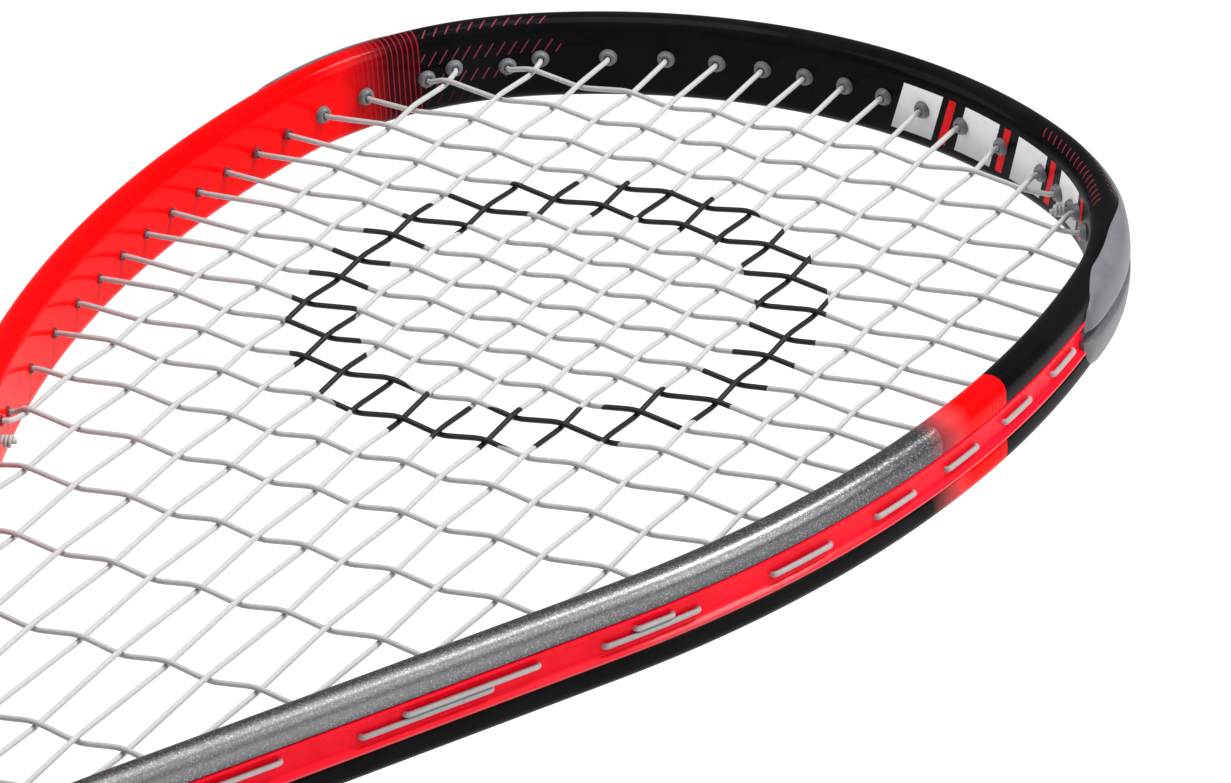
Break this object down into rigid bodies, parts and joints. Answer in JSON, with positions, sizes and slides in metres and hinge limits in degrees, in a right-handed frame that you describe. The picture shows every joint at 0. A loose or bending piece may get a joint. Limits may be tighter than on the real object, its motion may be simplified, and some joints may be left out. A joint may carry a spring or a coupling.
{
  "type": "squash racket",
  "caption": "Squash racket with a teardrop hoop, woven white strings, grey tip guard, red grommet strips in the outer groove and a spiral-wrapped grip.",
  "frame": {"origin": "centre of the flat butt face, on the racket's long axis and in the string plane", "axes": "+Y from the butt to the tip of the head, +Z square to the string plane, out of the side seen in the picture, +X to the right with +Z towards the viewer and the tip up"},
  "size_m": [0.213, 0.686, 0.031],
  "materials": {
    "frame_paint": "gloss lacquer over carbon composite: black, red and gunmetal bands",
    "shaft_paint": "gloss metallic gunmetal lacquer",
    "wedge_paint": "gloss black lacquer",
    "bumper_nylon": "satin grey nylon",
    "strip_nylon": "bright red nylon",
    "string_main": "white multifilament with a clear coat and black stencil ink",
    "string_cross": "white multifilament with a clear coat and black stencil ink",
    "plug_foam": "rigid foam",
    "shell_foam": "rigid moulded foam",
    "cap_plastic": "satin black, moulded",
    "disc_plastic": "gloss red",
    "staple_steel": "zinc plated wire",
    "base_tape": "adhesive paper tape",
    "grip_pu": "black cushioned synthetic leather with fine perforations",
    "finish_vinyl": "black vinyl tape",
    "collar_rubber": "soft black rubber"
  },
  "bodies": {
    "root": {"frame_tube": "frame_paint", "throat_wedge": "wedge_paint", "shaft_sleeve": "shaft_paint", "bumper_guard": "bumper_nylon", "grommet_strip_right": "strip_nylon", "grommet_strip_left": "strip_nylon", "throat_grommets": "strip_nylon", "main_string": "string_main", "cross_string": "string_cross", "tie_knots": "string_main", "leg_plugs": "plug_foam", "handle_shell_front": "shell_foam", "handle_shell_back": "shell_foam", "butt_cap": "cap_plastic", "butt_disc": "disc_plastic", "butt_staples": "staple_steel", "base_tape": "base_tape", "grip_wrap": "grip_pu", "finishing_tape": "finish_vinyl", "rubber_collar": "collar_rubber"}
  },
  "joints": []
}
